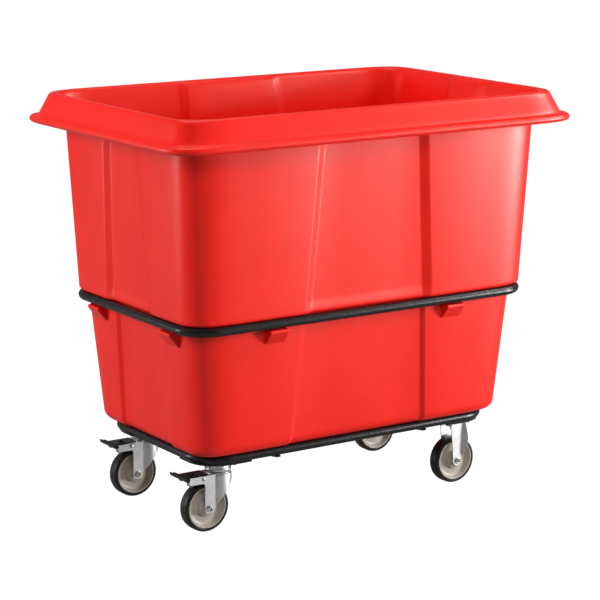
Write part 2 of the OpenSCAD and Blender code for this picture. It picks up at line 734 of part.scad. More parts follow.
module axle(sx, sy) {
    seat = leg_out + stack_gap;
    cup_floor = 0.6;
    cup_wall = 2.6;
    head_taper = 0.8;
    color(zinc) wheel_at(sx, sy) difference() {
        union() {
            translate([0, 0, -seat - axle_nut_h - 1])
                cylinder(r = axle_r, h = 2 * seat + axle_nut_h + 2);
            translate([0, 0, seat])
                cylinder(r1 = axle_head_r, r2 = axle_head_r - head_taper, h = axle_head_h);
        }
        translate([0, 0, seat + cup_floor]) cylinder(r = axle_head_r - cup_wall, h = axle_head_h);
    }
}
module axle_nut(sx, sy) {
    color(zinc) wheel_at(sx, sy)
        hex_nut(-leg_out - 2 * stack_gap - axle_nut_h, axle_nut_r, axle_r + run_gap, axle_nut_h);
}

// Rigid fork: plate, two tapered legs with outward stiffening flanges, and a web
top_back = 1.5;
web_x = -rigid_top_w / 2 - top_back;
rigid_front = web_x + rigid_top_w;
toe_x = -1;
rigid_toe_r = 10;
toe_rise = 3;
toe_front = toe_x + rigid_toe_r;
toe_rear = toe_x - rigid_toe_r;
module rigid_leg() {
    rotate([90, 0, 0]) linear_extrude(fork_t) difference() {
        union() {
            polygon([
                [web_x, plate_low + 1], [rigid_front, plate_low + 1],
                [toe_front, wheel_z + toe_rise], [toe_front, wheel_z],
                [toe_rear, wheel_z], [toe_rear, wheel_z + toe_rise]]);
            translate([toe_x, wheel_z]) circle(r = rigid_toe_r);
        }
        translate([0, wheel_z]) circle(r = axle_r + run_gap);
    }
}
module rigid_flange() {
    lean = 50;
    bulge_z = (plate_low + wheel_z) / 2;
    translate([rigid_front - 2, -leg_out + fork_t / 2, 0]) rotate(-lean) rotate([90, 0, 0])
        translate([0, 0, -fork_t / 2]) linear_extrude(fork_t) polygon([
            [-1, plate_low + 0.5], [flange_w * 0.4, plate_low + 0.5], [flange_w, bulge_z + 5],
            [flange_w * 0.95, bulge_z - 5], [0.5, wheel_z + 4], [-3, wheel_z + 2]]);
}
module rigid_fork(sy) {
    arch_r = 24;
    arch_drop = 14;
    color(zinc) at_caster(1, sy) {
        caster_plate() { }
        translate([0, leg_out, 0]) rigid_leg();
        translate([0, -leg_in, 0]) rigid_leg();
        rigid_flange();
        mirror([0, 1, 0]) rigid_flange();
        translate([web_x, 0, 0]) rotate([90, 0, 90]) linear_extrude(fork_t) difference() {
            translate([-leg_out, crown_top]) square([2 * leg_out, plate_low + 1 - crown_top]);
            translate([0, crown_top - arch_drop]) circle(r = arch_r);
        }
    }
}

tub();
mid_ring();
base_ring();
cross_bar(-1);  // cross_bar_left
cross_bar(1);  // cross_bar_right
corner_plate(-1, -1);  // corner_plate_left_front
corner_plate(-1, 1);  // corner_plate_left_rear
corner_plate(1, -1);  // corner_plate_right_front
corner_plate(1, 1);  // corner_plate_right_rear
tub_bolts();
tub_washers();
tub_spacers();
tub_nuts();
caster_bolts();
caster_nuts();
swivel_plate(-1);  // swivel_plate_front
upper_race(-1);  // upper_race_front
bearing_balls(-1);  // bearing_balls_front
kingpin(-1);  // kingpin_front
swivel_fork(-1);  // swivel_fork_front
swivel_plate(1);  // swivel_plate_rear
upper_race(1);  // upper_race_rear
bearing_balls(1);  // bearing_balls_rear
kingpin(1);  // kingpin_rear
swivel_fork(1);  // swivel_fork_rear
brake_pedal(-1);  // brake_pedal_front
brake_shoe(-1);  // brake_shoe_front
brake_spring(-1);  // brake_spring_front
pedal_pin(-1);  // pedal_pin_front
brake_pedal(1);  // brake_pedal_rear
brake_shoe(1);  // brake_shoe_rear
brake_spring(1);  // brake_spring_rear
pedal_pin(1);  // pedal_pin_rear
tyre(-1, -1);  // swivel_tyre_front
hub(-1, -1);  // swivel_hub_front
bushing(-1, -1);  // swivel_bushing_front
axle(-1, -1);  // swivel_axle_front
axle_nut(-1, -1);  // swivel_nut_front
tyre(-1, 1);  // swivel_tyre_rear
hub(-1, 1);  // swivel_hub_rear
bushing(-1, 1);  // swivel_bushing_rear
axle(-1, 1);  // swivel_axle_rear
axle_nut(-1, 1);  // swivel_nut_rear
rigid_fork(-1);  // rigid_fork_front
tyre(1, -1);  // rigid_tyre_front
hub(1, -1);  // rigid_hub_front
bushing(1, -1);  // rigid_bushing_front
axle(1, -1);  // rigid_axle_front
axle_nut(1, -1);  // rigid_nut_front
rigid_fork(1);  // rigid_fork_rear
tyre(1, 1);  // rigid_tyre_rear
hub(1, 1);  // rigid_hub_rear
bushing(1, 1);  // rigid_bushing_rear
axle(1, 1);  // rigid_axle_rear
axle_nut(1, 1);  // rigid_nut_rear
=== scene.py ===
import bpy
import bmesh
import json
import math
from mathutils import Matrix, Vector


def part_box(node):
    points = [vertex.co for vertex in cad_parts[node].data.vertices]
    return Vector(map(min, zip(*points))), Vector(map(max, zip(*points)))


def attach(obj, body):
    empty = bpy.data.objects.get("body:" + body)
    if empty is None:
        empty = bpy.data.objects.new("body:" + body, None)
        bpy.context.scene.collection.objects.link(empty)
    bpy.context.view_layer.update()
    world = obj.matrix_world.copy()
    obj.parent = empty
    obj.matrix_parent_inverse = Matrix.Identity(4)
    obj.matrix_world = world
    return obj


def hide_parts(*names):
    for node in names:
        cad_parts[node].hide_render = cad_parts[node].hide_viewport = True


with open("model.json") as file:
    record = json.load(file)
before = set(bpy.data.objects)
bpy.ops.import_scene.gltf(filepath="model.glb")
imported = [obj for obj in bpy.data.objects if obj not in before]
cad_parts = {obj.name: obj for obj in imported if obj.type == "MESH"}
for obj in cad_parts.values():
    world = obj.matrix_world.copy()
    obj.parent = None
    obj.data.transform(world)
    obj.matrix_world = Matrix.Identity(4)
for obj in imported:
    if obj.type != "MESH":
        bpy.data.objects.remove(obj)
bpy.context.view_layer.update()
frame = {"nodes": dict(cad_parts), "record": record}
nodes = frame["nodes"]
mm = 0.001
print("frame loaded:", len(nodes), "nodes")


def boxOf(name):
    lo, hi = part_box(name)
    return Vector(lo), Vector(hi)


def middleOf(name):
    lo, hi = boxOf(name)
    return (lo + hi) / 2


# A part is a pair of lists, points and faces, that the add functions below fill
def newPart():
    return [], []


def addRings(part, rings, joinEnds=False, caps=True):
    verts, faces = part
    start, n, count = len(verts), len(rings[0]), len(rings)
    for ring in rings:
        verts += [tuple(p) for p in ring]
    for i in range(count if joinEnds else count - 1):
        a, b = start + i * n, start + (i + 1) % count * n
        for k in range(n):
            m = (k + 1) % n
            faces.append((a + k, a + m, b + m, b + k))
    if caps and not joinEnds:
        faces.append(tuple(range(start + n - 1, start - 1, -1)))
        faces.append(tuple(range(start + (count - 1) * n, start + count * n)))


def addPrism(part, outline, near, far, spot):
    # outline in two dimensions, pushed through from near to far; spot puts a point in space
    addRings(part, [[spot(a, b, t) for a, b in outline] for t in (near, far)])


axisHole = 0.05 * mm   # a turned solid stops this far from its axis


def addTurned(part, profile, centre, axis="Z", steps=72):
    # profile: closed list of (distance along the axis, radius)
    rings = []
    for i in range(steps):
        a = 2 * math.pi * i / steps
        c, s = math.cos(a), math.sin(a)
        ring = []
        for along, r in profile:
            p = (r * c, along, r * s) if axis == "Y" else (r * c, r * s, along)
            ring.append(Vector(p) + Vector(centre))
        rings.append(ring)
    addRings(part, rings, joinEnds=True)


def makeObject(name, part, sharpAngle=35):
    mesh = bpy.data.meshes.new(name)
    mesh.from_pydata([tuple(v) for v in part[0]], [], part[1])
    mesh.validate()
    bm = bmesh.new()
    bm.from_mesh(mesh)
    bmesh.ops.recalc_face_normals(bm, faces=bm.faces)
    bm.to_mesh(mesh)
    bm.free()
    for poly in mesh.polygons:
        poly.use_smooth = True
    if sharpAngle:
        mesh.set_sharp_from_angle(angle=math.radians(sharpAngle))
    ob = bpy.data.objects.new(name, mesh)
    bpy.context.scene.collection.objects.link(ob)
    return ob


def setMaterial(ob, mat):
    ob.data.materials.clear()
    ob.data.materials.append(mat)


def bevel(ob, width, segments=2, angle=30):
    mod = ob.modifiers.new("edgeRound", "BEVEL")
    mod.width = width
    mod.segments = segments
    mod.limit_method = "ANGLE"
    mod.angle_limit = math.radians(angle)
    mod.harden_normals = True


def arc(cx, cy, rx, ry, a0, a1, n):
    # centre, two radii, start and end angle in degrees, number of steps
    out = []
    for i in range(n + 1):
        a = math.radians(a0 + (a1 - a0) * i / n)
        out.append((cx + rx * math.cos(a), cy + ry * math.sin(a)))
    return out


def roundCorners(corners, steps=5):
    # corners: (x, y, radius) round a closed outline; each corner becomes an arc
    out = []
    for i, (x, y, r) in enumerate(corners):
        p = Vector((x, y))
        before, after = Vector(corners[i - 1][:2]), Vector(corners[(i + 1) % len(corners)][:2])
        a, b = (before - p).normalized(), (after - p).normalized()
        spread = a.angle(b)
        nearlyStraight = spread > math.radians(175)
        if r <= 0 or nearlyStraight:
            out.append((x, y))
            continue
        middle = p + (a + b).normalized() * (r / math.sin(spread / 2))
        u = p + a * (r / math.tan(spread / 2)) - middle
        w = p + b * (r / math.tan(spread / 2)) - middle
        sweep = math.atan2(u.x * w.y - u.y * w.x, u.dot(w))
        for k in range(steps + 1):
            t = sweep * k / steps
            out.append((middle.x + u.x * math.cos(t) - u.y * math.sin(t),
                        middle.y + u.x * math.sin(t) + u.y * math.cos(t)))
    return out


def nodeMaterial(name):
    mat = bpy.data.materials.new(name)
    mat.use_nodes = True
    tree = mat.node_tree
    return mat, tree, tree.nodes["Principled BSDF"]


def addNoise(tree, scale, detail, rough=0.5, stretch=None):
    coord = tree.nodes.new("ShaderNodeTexCoord")
    noise = tree.nodes.new("ShaderNodeTexNoise")
    noise.inputs["Scale"].default_value = scale
    noise.inputs["Detail"].default_value = detail
    noise.inputs["Roughness"].default_value = rough
    if stretch:
        mapping = tree.nodes.new("ShaderNodeMapping")
        mapping.inputs["Scale"].default_value = stretch
        tree.links.new(coord.outputs["Object"], mapping.inputs["Vector"])
        tree.links.new(mapping.outputs["Vector"], noise.inputs["Vector"])
    else:
        tree.links.new(coord.outputs["Object"], noise.inputs["Vector"])
    return noise.outputs["Fac"]


def addTones(tree, shader, source, low, high, dark, light):
    # base colour from dark to light as the source goes from low to high
    ramp = tree.nodes.new("ShaderNodeValToRGB")
    ramp.color_ramp.elements[0].position = low
    ramp.color_ramp.elements[1].position = high
    ramp.color_ramp.elements[0].color = (*dark, 1)
    ramp.color_ramp.elements[1].color = (*light, 1)
    tree.links.new(source, ramp.inputs["Fac"])
    tree.links.new(ramp.outputs["Color"], shader.inputs["Base Color"])


def addBump(tree, shader, source, strength, distance, previous=None):
    bump = tree.nodes.new("ShaderNodeBump")
    bump.inputs["Strength"].default_value = strength
    bump.inputs["Distance"].default_value = distance
    tree.links.new(source, bump.inputs["Height"])
    if previous:
        tree.links.new(previous.outputs["Normal"], bump.inputs["Normal"])
    tree.links.new(bump.outputs["Normal"], shader.inputs["Normal"])
    return bump


def addRoughness(tree, shader, source, low, high):
    # noise keeps mostly between 0.3 and 0.7, which is spread over low to high
    spread = tree.nodes.new("ShaderNodeMapRange")
    spread.inputs["From Min"].default_value = 0.3
    spread.inputs["From Max"].default_value = 0.7
    spread.inputs["To Min"].default_value = low
    spread.inputs["To Max"].default_value = high
    tree.links.new(source, spread.inputs["Value"])
    tree.links.new(spread.outputs["Result"], shader.inputs["Roughness"])


# Moulded polyethylene: pure red, a fine satin grain, a faint unevenness of the mould
redPlastic = {
    "deep": (0.80, 0.0085, 0.0040),
    "clear": (0.86, 0.0098, 0.0046),
    "mottle": 11,
    "grain": 620,
    "grainDepth": 0.22,
    "mouldWave": 4.5,
    "mouldDepth": 0.12,
    "roughness": (0.32, 0.39),
    "gloss": 0.5,
    "glossTint": (1, 0.93, 0.82, 1),
}


def redPlasticMaterial():
    mat, tree, shader = nodeMaterial("redPolyethylene")
    p = redPlastic
    addTones(tree, shader, addNoise(tree, p["mottle"], 4), 0.35, 0.7, p["deep"], p["clear"])
    grain = addNoise(tree, p["grain"], 2, 0.6)
    addRoughness(tree, shader, grain, *p["roughness"])
    wave = addBump(tree, shader, addNoise(tree, p["mouldWave"], 1), p["mouldDepth"], 0.004)
    addBump(tree, shader, grain, p["grainDepth"], 0.0004, wave)
    shader.inputs["Specular IOR Level"].default_value = p["gloss"]
    shader.inputs["Specular Tint"].default_value = p["glossTint"]
    return mat


def coatedMaterial(name, colour, roughness, peelScale):
    # sprayed coat: orange peel, slightly dusty on the high spots
    mat, tree, shader = nodeMaterial(name)
    peel = addNoise(tree, peelScale, 2)
    dusty = tuple(c * 1.7 for c in colour)
    addTones(tree, shader, addNoise(tree, 30, 5), 0.35, 0.75, colour, dusty)
    addRoughness(tree, shader, peel, *roughness)
    addBump(tree, shader, peel, 0.05, 0.0003)
    return mat


def platedMaterial(name, colour, roughness, drawn=None):
    # plated or oiled steel: cloudy tone and fine lines, stretched where the sheet was drawn
    mat, tree, shader = nodeMaterial(name)
    cloudy = tuple(c * 0.84 for c in colour)
    addTones(tree, shader, addNoise(tree, 70, 5), 0.3, 0.75, cloudy, colour)
    lines = addNoise(tree, 320, 3, 0.6, drawn)
    addRoughness(tree, shader, lines, *roughness)
    addBump(tree, shader, lines, 0.02, 0.0001)
    shader.inputs["Metallic"].default_value = 1.0
    return mat


def mouldedMaterial(name, dark, light, cloudScale, grainScale, roughness):
    # rubber and nylon: a cloudy tone under a fine grain
    mat, tree, shader = nodeMaterial(name)
    addTones(tree, shader, addNoise(tree, cloudScale, 5), 0.32, 0.74, dark, light)
    grain = addNoise(tree, grainScale, 2)
    addRoughness(tree, shader, grain, *roughness)
    addBump(tree, shader, grain, 0.14, 0.0002)
    return mat


mats = {
    "tub_plastic": redPlasticMaterial(),
    "black_coat": coatedMaterial("blackPowderCoat", colour=(0.0045, 0.0045, 0.005),
                                 roughness=(0.24, 0.36), peelScale=480),
    "zinc": platedMaterial("zincPressing", colour=(0.93, 0.94, 0.95),
                           roughness=(0.35, 0.42), drawn=(1, 1, 0.12)),
    "fasteners": platedMaterial("zincFastener", colour=(0.74, 0.75, 0.76), roughness=(0.16, 0.28)),
    "bare_steel": platedMaterial("oiledSteel", colour=(0.30, 0.30, 0.31), roughness=(0.28, 0.42)),
    "tyre": mouldedMaterial("tyreRubber", dark=(0.0045, 0.0045, 0.005), light=(0.011, 0.011, 0.011),
                            cloudScale=55, grainScale=700, roughness=(0.30, 0.44)),
    "hub": mouldedMaterial("hubNylon", dark=(0.36, 0.32, 0.265), light=(0.48, 0.435, 0.37),
                           cloudScale=26, grainScale=520, roughness=(0.30, 0.42)),
    "bushing": mouldedMaterial("bushingNylon", dark=(0.60, 0.57, 0.48), light=(0.72, 0.69, 0.60),
                               cloudScale=80, grainScale=600, roughness=(0.35, 0.5)),
    "pedal": coatedMaterial("pedalCoat", colour=(0.0035, 0.0035, 0.004),
                            roughness=(0.22, 0.36), peelScale=420),
}
slotOf = {s["node"]: s["material_slot"] for s in frame["record"]["subparts"]}
for nodeName, nodeObject in nodes.items():
    setMaterial(nodeObject, mats[slotOf[nodeName]])
print("materials made:", len(mats))


def place(ob, slot, body, *replaced):
    # finish, body that it moves with, and the nodes that it stands for
    setMaterial(ob, mats[slot])
    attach(ob, body)
    if replaced:
        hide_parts(*replaced)


# Tub: a wide bin over a narrower one, with sunk panels in the sides and a beaded rim. Drafts and
# splay are per unit of height; a reach is how far a corner's bend runs along a side or an end, in
# corner radii
tub = {
    "wall": 5 * mm,
    "endOverhang": 55.7 * mm,
    "sideOverhang": 58.5 * mm,
    "upperDraft": 0.045,
    "lowerDraft": 0.078,
    "lowerHeight": 276.5 * mm,
    "step": 15.4 * mm,
    "shelfFillet": 3.5 * mm,
    "shoulderRound": 8 * mm,
    "upperCorner": 62 * mm,
    "lowerCorner": 60 * mm,
    "floorRound": 22 * mm,
    "lipCorner": 68 * mm,
    "sideReach": 2.4,
    "endReach": 1.7,
    "rimHeight": 62 * mm,
    "rimWallRise": 4 * mm,
    "beadHeight": 16 * mm,
    "ridgeInset": 38 * mm,
    "upperPanel": 8 * mm,
    "lowerPanel": 6 * mm,
    "panelFade": 22 * mm,
    "sideTop": 132 * mm,
    "sideLow": 150 * mm,
    "endTop": 68 * mm,
    "endLow": 82 * mm,
    "splay": 0.07,
    "upperRamp": 19 * mm,
    "lowerRamp": 10 * mm,
    "cornerSteps": 42,
    "rampSteps": 10,
    "rampSoftness": 0.13,
    "lugWidth": 46 * mm,
    "lugHeight": 30 * mm,
    "lugReach": 20 * mm,
    "lugSink": 3 * mm,
    "lugFoot": 1.5 * mm,
    "lugFace": 7 * mm,
    "lugEdge": 1 * mm,
    "lugTaper": 1.5 * mm,
    "lugUnderRing": 1.3 * mm,
    "sideLugGap": 61 * mm,
    "endLugGap": 54 * mm,
}


def softRamp(t, soft):
    # 0 to 1 with a straight middle and short rounded ends
    def area(x):
        if x <= -soft:
            return 0
        if x >= soft:
            return x
        return (x + soft) ** 2 / (4 * soft)
    return min(1, max(0, area(t) - area(t - 1)))


def easyCorner(reach, steps):
    # quarter turn from (1, 0) to (0, 1) that starts and ends gently; reach is its length over the
    # radius of the plain arc that would cut the corner as far
    power = math.log(0.5) / math.log(1 - (1 - math.sqrt(0.5)) / reach)
    out = []
    for i in range(steps + 1):
        a = math.pi / 2 * i / steps
        c, s = max(0, math.cos(a)), math.sin(a)
        k = (c ** power + s ** power) ** (-1 / power)
        out.append((c * k, s * k))
    return out


def makeTub():
    p = tub
    lo, hi = boxOf("tub")
    halfX, halfY, topZ, tubZ = hi.x, hi.y, hi.z, lo.z
    lipZ = topZ - p["rimHeight"]
    shoulderZ = tubZ + p["lowerHeight"]
    shoulderTop = shoulderZ + p["shoulderRound"]
    wallX, wallY = halfX - p["endOverhang"], halfY - p["sideOverhang"]
    footZ = tubZ + p["floorRound"]
    rimWallZ = lipZ + p["rimWallRise"]

    def upperInset(z):
        return (lipZ - z) * p["upperDraft"]

    def lowerInset(z):
        return upperInset(shoulderTop) + p["step"] + (shoulderZ - z) * p["lowerDraft"]

    # a level is half length, half width, height, corner radius and how deep the panels are sunk
    def wallLevel(inset, z, r, depth):
        return (wallX - inset, wallY - inset, z, r, depth)

    def rimLevel(inset, z, depth=0):
        r = p["lipCorner"] + (p["upperCorner"] - p["lipCorner"]) * inset / p["endOverhang"]
        return (halfX - inset, halfY - inset, z, r, depth)

    def between(a, b, n):
        return [tuple(x + (y - x) * i / n for x, y in zip(a, b)) for i in range(1, n)]

    def skinUp(t):
        # levels from the floor to the rim; t is 0 outside and the wall's thickness inside
        r = p["floorRound"] - t
        c = lowerInset(footZ) + p["floorRound"]
        rows = [wallLevel(c - q[0], q[1], p["lowerCorner"] - p["floorRound"] + q[0], p["lowerPanel"])
                for q in arc(0, footZ, r, r, -90, 0, 8)]
        shelf, bend, f = shoulderZ + t, p["shoulderRound"] - t / 2, p["shelfFillet"]
        inner, outer = lowerInset(shoulderZ) + t, upperInset(shoulderTop) + t
        start = wallLevel(inner, shelf - f, p["lowerCorner"] - t, p["lowerPanel"])
        rows += between(rows[-1], start, 10) + [start]
        for q in arc(inner - f, shelf - f, f, f, 0, 90, 4)[1:]:
            rows.append(wallLevel(q[0], q[1], p["lowerCorner"] - t, p["lowerPanel"]))
        for q in arc(0, shelf + bend, bend, bend, -90, 0, 6):
            rows.append(wallLevel(outer + bend - q[0], q[1], p["upperCorner"] - t, p["lowerPanel"]))
        for i in range(1, 7):
            k = i / 6
            z = shoulderTop + p["panelFade"] * k
            depth = p["lowerPanel"] + (p["upperPanel"] - p["lowerPanel"]) * k * k * (3 - 2 * k)
            rows.append(wallLevel(upperInset(z) + t, z, p["upperCorner"] - t, depth))
        end = wallLevel(upperInset(rimWallZ) + t, rimWallZ, p["upperCorner"] - t, p["upperPanel"])
        return rows + between(rows[-1], end, 14) + [end]

    d, e, t = p["upperPanel"], p["ridgeInset"], p["wall"]
    beadR = p["beadHeight"] / 2
    beadTop = lipZ + p["beadHeight"]
    # under the rim, from the wall up to the ridge and down into the bead
    under = [rimLevel(e + 7 * mm, topZ - 15 * mm, d * 0.6),
             rimLevel(e + 5 * mm, topZ - 8.5 * mm, d * 0.35),
             rimLevel(e + 3 * mm, topZ - t - 1.5 * mm, d * 0.2),
             rimLevel(e - 3 * mm, topZ - t - 1.5 * mm),
             rimLevel(19 * mm, beadTop - 1 * mm),
             rimLevel(14 * mm, lipZ + 2 * mm)]
    # round the bead at the rim's edge, then up the slope to the ridge
    bead = [rimLevel(q[0], q[1]) for q in arc(beadR, lipZ + beadR, -beadR, -beadR, 90, -78, 12)]
    foot = rimLevel(14.5 * mm, beadTop + 1.6 * mm)
    crest = rimLevel(e - 8 * mm, topZ - 6.5 * mm)
    slope = [rimLevel(11 * mm, beadTop - 0.4 * mm), rimLevel(13 * mm, beadTop + 0.2 * mm), foot]
    slope += between(foot, crest, 5) + [crest]
    # over the crest and down the inside: inset from the ridge, drop from the top, share of the
    # panel's depth
    overTop = [(-6.2, 3, 0), (-3.6, 0.9, 0), (0, 0, 0), (4, 0.5, 0.05), (7.5, 2.2, 0.15),
               (10.2, 5.5, 0.35), (12, 11, 0.6), (15, 22, 0.8)]
    top = [rimLevel(e + x * mm, topZ - drop * mm, d * share) for x, drop, share in overTop]
    levels = skinUp(0) + under + bead + slope + top + list(reversed(skinUp(t)))
    bend = easyCorner((p["sideReach"] + p["endReach"]) / 2, p["cornerSteps"])

    def outline(level):
        hx, hy, z, r, depth = level
        upper = z >= shoulderZ
        down = (lipZ if upper else shoulderZ) - z
        side = p["sideTop" if upper else "sideLow"] + down * p["splay"]
        end = p["endTop" if upper else "endLow"] + down * p["splay"]
        ramp = p["upperRamp" if upper else "lowerRamp"]
        soft, n = p["rampSoftness"], p["rampSteps"]
        walk = [-soft + (1 + 2 * soft) * i / n for i in range(n + 1)]
        alongX, alongY = r * p["sideReach"], r * p["endReach"]
        pts = []

        def face(edge, half, spot):
            # along one side: ramp in, panel, ramp out
            for k in walk:
                pts.append(spot(-edge + ramp * k, half - depth * softRamp(k, soft)))
            for k in (-0.5, 0, 0.5):
                pts.append(spot((edge - ramp) * k, half - depth))
            for k in reversed(walk):
                pts.append(spot(edge - ramp * k, half - depth * softRamp(k, soft)))

        def corner(sx, sy):
            for u, v in (bend if sx == sy else reversed(bend)):
                pts.append((sx * (hx + alongX * (u - 1)), sy * (hy + alongY * (v - 1)), z))

        face(end, hx, lambda s, h: (h, s, z))
        corner(1, 1)
        face(side, hy, lambda s, h: (-s, h, z))
        corner(-1, 1)
        face(end, hx, lambda s, h: (-h, -s, z))
        corner(-1, -1)
        face(side, hy, lambda s, h: (s, -h, z))
        corner(1, -1)
        return pts

    rows = [outline(level) for level in levels]
    n = len(rows[0])
    shell = newPart()
    addRings(shell, rows, caps=False)
    verts, faces = shell
    # floor and underside close towards the middle
    for base in (0, (len(rows) - 1) * n):
        ring = list(range(base, base + n))
        z = verts[base][2]
        for shrink in (0.7, 0.35):
            start = len(verts)
            verts += [(verts[base + i][0] * shrink, verts[base + i][1] * shrink, z) for i in range(n)]
            inner = list(range(start, start + n))
            faces += [(ring[i], inner[i], inner[(i + 1) % n], ring[(i + 1) % n]) for i in range(n)]
            ring = inner
        verts.append((0, 0, z))
        faces += [(ring[i], len(verts) - 1, ring[(i + 1) % n]) for i in range(n)]
    ob = makeObject("tubShell", shell, sharpAngle=0)
    place(ob, "tub_plastic", "root", "tub")

    # eight lugs under the middle ring
    lugTop = boxOf("mid_ring")[0].z - p["lugUnderRing"]
    lugX = p["sideTop"] + (lipZ - shoulderTop) * p["splay"] + p["sideLugGap"]
    lugY = p["endTop"] + (lipZ - shoulderTop) * p["splay"] + p["endLugGap"]
    wx, wy = wallX - lowerInset(lugTop), wallY - lowerInset(lugTop)
    root, w, h, reach = -p["lugSink"], p["lugWidth"] / 2, p["lugHeight"], p["lugReach"]
    profile = [(root - h * p["lowerDraft"], -h), (p["lugFoot"], -h), (reach, -p["lugFace"]),
               (reach, -p["lugEdge"]), (root, 0)]
    spots = [(sx * wx, sy * lugY, 0 if sx > 0 else math.pi) for sx in (-1, 1) for sy in (-1, 1)]
    spots += [(sx * lugX, sy * wy, sy * math.pi / 2) for sx in (-1, 1) for sy in (-1, 1)]
    for i, (x, y, turn) in enumerate(spots):
        lug = newPart()
        rings = []
        for s in (-1, 1):
            ring = []
            for a, b in profile:
                half = s * (w - p["lugTaper"] * max(0, a / reach))
                ring.append((x + a * math.cos(turn) - half * math.sin(turn),
                             y + a * math.sin(turn) + half * math.cos(turn), lugTop + b))
            rings.append(ring)
        addRings(lug, rings)
        ob = makeObject("tubLug_%d" % (i + 1), lug)
        bevel(ob, 1.6 * mm, 3)
        place(ob, "tub_plastic", "root")
    print("tub made:", len(faces), "faces")


makeTub()


# Round tube rings under the upper bin's shelf and round the base; corner is the radius of the
# tube's centre line
tubeRings = {
    "mid_ring": {"corner": 60 * mm, "tube": 19 * mm, "name": "midRing"},
    "base_ring": {"corner": 63.5 * mm, "tube": 19 * mm, "name": "baseRing"},
}


def makeRing(node, p):
    lo, hi = boxOf(node)
    r, bend = p["tube"] / 2, p["corner"]
    hx, hy, z = hi.x - r, hi.y - r, (lo.z + hi.z) / 2
    path = []
    for sx, sy, a0 in ((1, 1, 0), (-1, 1, 90), (-1, -1, 180), (1, -1, 270)):
        for x, y in arc(sx * (hx - bend), sy * (hy - bend), bend, bend, a0, a0 + 90, 16):
            path.append(Vector((x, y)))
    sides = 28
    loops = []
    for i, q in enumerate(path):
        along = (path[(i + 1) % len(path)] - path[i - 1]).normalized()
        out = Vector((along.y, -along.x))
        loop = []
        for k in range(sides):
            b = 2 * math.pi * k / sides
            c, s = math.cos(b), math.sin(b)
            loop.append((q.x + out.x * r * c, q.y + out.y * r * c, z + r * s))
        loops.append(loop)
    ring = newPart()
    addRings(ring, loops, joinEnds=True)
    place(makeObject(p["name"], ring, 0), "black_coat", "root", node)
    makeButtWeld(p["name"] + "Weld", r, hy, z)


# Butt weld on the far side of a ring, where the tube's ends meet
buttWeld = {"x": 120 * mm, "length": 6 * mm, "height": 0.9 * mm, "lumps": 9, "lumpSize": 0.02}


def makeButtWeld(name, r, y, z):
    p = buttWeld
    half = p["length"] / 2
    near, far = p["x"] - half, p["x"] + half
    profile = [(near + a, r + b) for a, b in arc(half, 0, -half, p["height"], 0, 180, 8)]
    profile += [(far, r - mm), (near, r - mm)]
    sides = 32
    loops = []
    for i in range(sides):
        a = 2 * math.pi * i / sides
        lump = 1 + p["lumpSize"] * math.sin(p["lumps"] * a)
        loops.append([(x, y + q * lump * math.cos(a), z + q * lump * math.sin(a)) for x, q in profile])
    weld = newPart()
    addRings(weld, loops, joinEnds=True)
    place(makeObject(name, weld), "black_coat", "root")


for nodeName, values in tubeRings.items():
    makeRing(nodeName, values)
print("rings made")


# Swivel caster: sizes that its pieces share
swivel = {
    "sheet": 2.5 * mm,
    "legOut": 21 * mm,
    "legHalf": 10 * mm,
    "legBelowAxle": 10 * mm,
    "headRadius": 28 * mm,
    "raceGap": 4 * mm,
    "armLength": 38.5 * mm,
    "armHeight": 15.5 * mm,
    "armNose": 9 * mm,
    "toe": 4 * mm,
    "crownBend": 4 * mm,
    "skirtStart": 14 * mm,
    "skirtDrop": 9 * mm,
    "neck": 16.2 * mm,
    "kingHole": 5.05 * mm,
    "plateStart": 5.5 * mm,
    "plateLap": 6 * mm,
    "skirtSteps": 56,
}


def swivelFrame(end):
    # kingpin, wheel centre and the top of the fork's crown
    crown = boxOf("upper_race_" + end)[0].z - swivel["raceGap"]
    return middleOf("kingpin_" + end), middleOf("swivel_hub_" + end), crown


